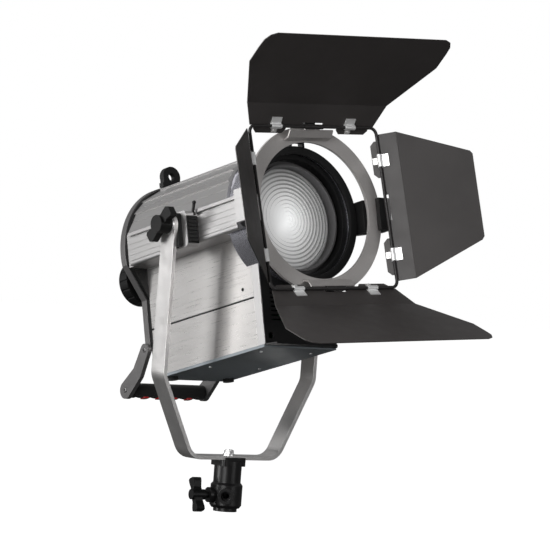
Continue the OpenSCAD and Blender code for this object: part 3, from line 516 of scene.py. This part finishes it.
def place_details():
    for kind in OPEN:
        spots = [on_leaf(kind, s * CLIP_X[kind], y, LEAF_OUTER) for s in (-1, 1) for y in CLIP_RIVET_Y]
        rivets(kind + "_leaf_rivets", kind + "_door", spots, 2.0, 0.8)
    head_screws("panel_screws", PANEL_SCREWS, OUTWARDS, "black_plastic", 2.2)
    head_screws("base_screws", BASE_SCREWS, DOWNWARDS, "bright_steel", 2.0)
    head_screws("ear_screws", EAR_SCREWS, EAR_FACE, "bright_steel", 2.4)
    head_screws("handle_screws", HANDLE_SCREWS, OUTWARDS, "frame_grey", 3.4)
    head_screws("rear_cover_screws", COVER_SCREWS, BACKWARDS, "black_plastic", 2.6)
    head_screws("fan_screws", FAN_SCREWS, BACKWARDS, "bright_steel", 2.2)
    # Black tubes as painted shade in the gaps along the seam and behind each ear
    shade_tubes = bmesh.new()
    for side in (-1, 1):
        x, r = SEAM_SHADE_STRIP
        add_tube(shade_tubes, [at_head(side * x, f, SEAM_U) for f in SEAM_SHADE_STRIP_F], r)
        x, r = EAR_SHADE_STRIP
        add_tube(shade_tubes, [at_head(side * x, EAR_SHADE_STRIP_F, u) for u in EAR_SHADE_STRIP_U], r)
    new_object("painted_shade_strips", shade_tubes, M["black_rubber"], "head")


place_details()

# ------------------------------------------------------------------ camera and light


# Camera: directions in degrees, lengths in metres, lens and sensor in millimetres
VIEW_DEG = (-38.5, 1.0, 4.25)  # azimuth, elevation, roll
VIEW_DISTANCE = 4.396
VIEW_TARGET = Vector((0.052, 0, 0.2974))
VIEW_LENS = 229.5
VIEW_SENSOR = 36


def make_camera():
    """Long lens, a little to the left of the lamp and almost level, rolled as in the reference view."""
    azimuth, elevation, roll = map(math.radians, VIEW_DEG)
    back = Vector((
        math.sin(azimuth) * math.cos(elevation),
        -math.cos(azimuth) * math.cos(elevation),
        math.sin(elevation)))
    data = bpy.data.cameras.new("camera")
    data.lens = VIEW_LENS
    data.sensor_width = VIEW_SENSOR
    data.clip_end = 60
    camera = bpy.data.objects.new("camera", data)
    bpy.context.scene.collection.objects.link(camera)
    turn = (-back).to_track_quat("-Z", "Y").to_matrix().to_4x4()
    place = Matrix.Translation(VIEW_TARGET + back * VIEW_DISTANCE)
    camera.matrix_world = place @ turn @ Matrix.Rotation(roll, 4, "Z")
    bpy.context.scene.camera = camera


def area_light(name, place, size, watts):
    """Soft rectangular light aimed at the middle of the lamp."""
    data = bpy.data.lights.new(name, "AREA")
    data.shape = "RECTANGLE"
    data.size, data.size_y = size
    data.energy = watts
    light = bpy.data.objects.new(name, data)
    bpy.context.scene.collection.objects.link(light)
    aim = (Vector(LAMP_MIDDLE) - Vector(place)).to_track_quat("-Z", "Y").to_matrix().to_4x4()
    light.matrix_world = Matrix.Translation(Vector(place)) @ aim
    light.visible_camera = False


def make_floor():
    """Plain pale floor, well below the lamp. It is seen, and takes no part in the reflections."""
    n = Nodes("pale_floor")
    tone = n.ramp(n.noise(0.6, 3), (0.93, 0.93, 0.93), (0.95, 0.95, 0.95))
    n.link(tone, n.shader.inputs["Base Color"])
    n.link(tone, n.shader.inputs["Emission Color"])
    n.set(Roughness=0.9, Emission_Strength=0.85, Specular_IOR_Level=0.0)
    bm = bmesh.new()
    bmesh.ops.create_grid(bm, x_segments=4, y_segments=4, size=20)
    mesh = bpy.data.meshes.new("floor")
    bm.to_mesh(mesh)
    bm.free()
    floor = bpy.data.objects.new("floor", mesh)
    bpy.context.scene.collection.objects.link(floor)
    floor.location.z = -0.5
    floor.visible_diffuse = False
    floor.visible_glossy = False
    mesh.materials.append(n.material)


def make_world():
    """White to the camera. The light itself is dim, and dark from below."""
    world = bpy.data.worlds.new("soft_white")
    bpy.context.scene.world = world
    world.use_nodes = True
    tree = world.node_tree
    seen = tree.nodes["Background"]
    seen.inputs["Color"].default_value = (1, 1, 1, 1)
    lit = tree.nodes.new("ShaderNodeBackground")
    coords = tree.nodes.new("ShaderNodeTexCoord")
    split = tree.nodes.new("ShaderNodeSeparateXYZ")
    height = tree.nodes.new("ShaderNodeMapRange")
    height.inputs["From Min"].default_value = -0.5
    height.inputs["From Max"].default_value = 0.7
    height.inputs["To Min"].default_value = 0.06
    height.inputs["To Max"].default_value = 0.34
    path = tree.nodes.new("ShaderNodeLightPath")
    mix = tree.nodes.new("ShaderNodeMixShader")
    tree.links.new(coords.outputs["Generated"], split.inputs[0])
    tree.links.new(split.outputs["Z"], height.inputs["Value"])
    tree.links.new(height.outputs["Result"], lit.inputs["Strength"])
    tree.links.new(path.outputs["Is Camera Ray"], mix.inputs["Fac"])
    tree.links.new(lit.outputs[0], mix.inputs[1])
    tree.links.new(seen.outputs[0], mix.inputs[2])
    tree.links.new(mix.outputs[0], tree.nodes["World Output"].inputs["Surface"])


make_camera()
make_floor()
make_world()
LAMP_MIDDLE = (0, 0, 0.35)
area_light("left_front", (-3.0, -1.6, 1.0), (1.4, 2.6), 80)
area_light("left_back", (-2.9, 1.4, 1.0), (1.2, 2.6), 110)
area_light("front", (0.9, -3.4, 0.5), (1.4, 0.9), 16)
area_light("top", (-0.3, 0.6, 3.0), (1.2, 1.8), 17)
bpy.context.scene.view_settings.view_transform = "Standard"
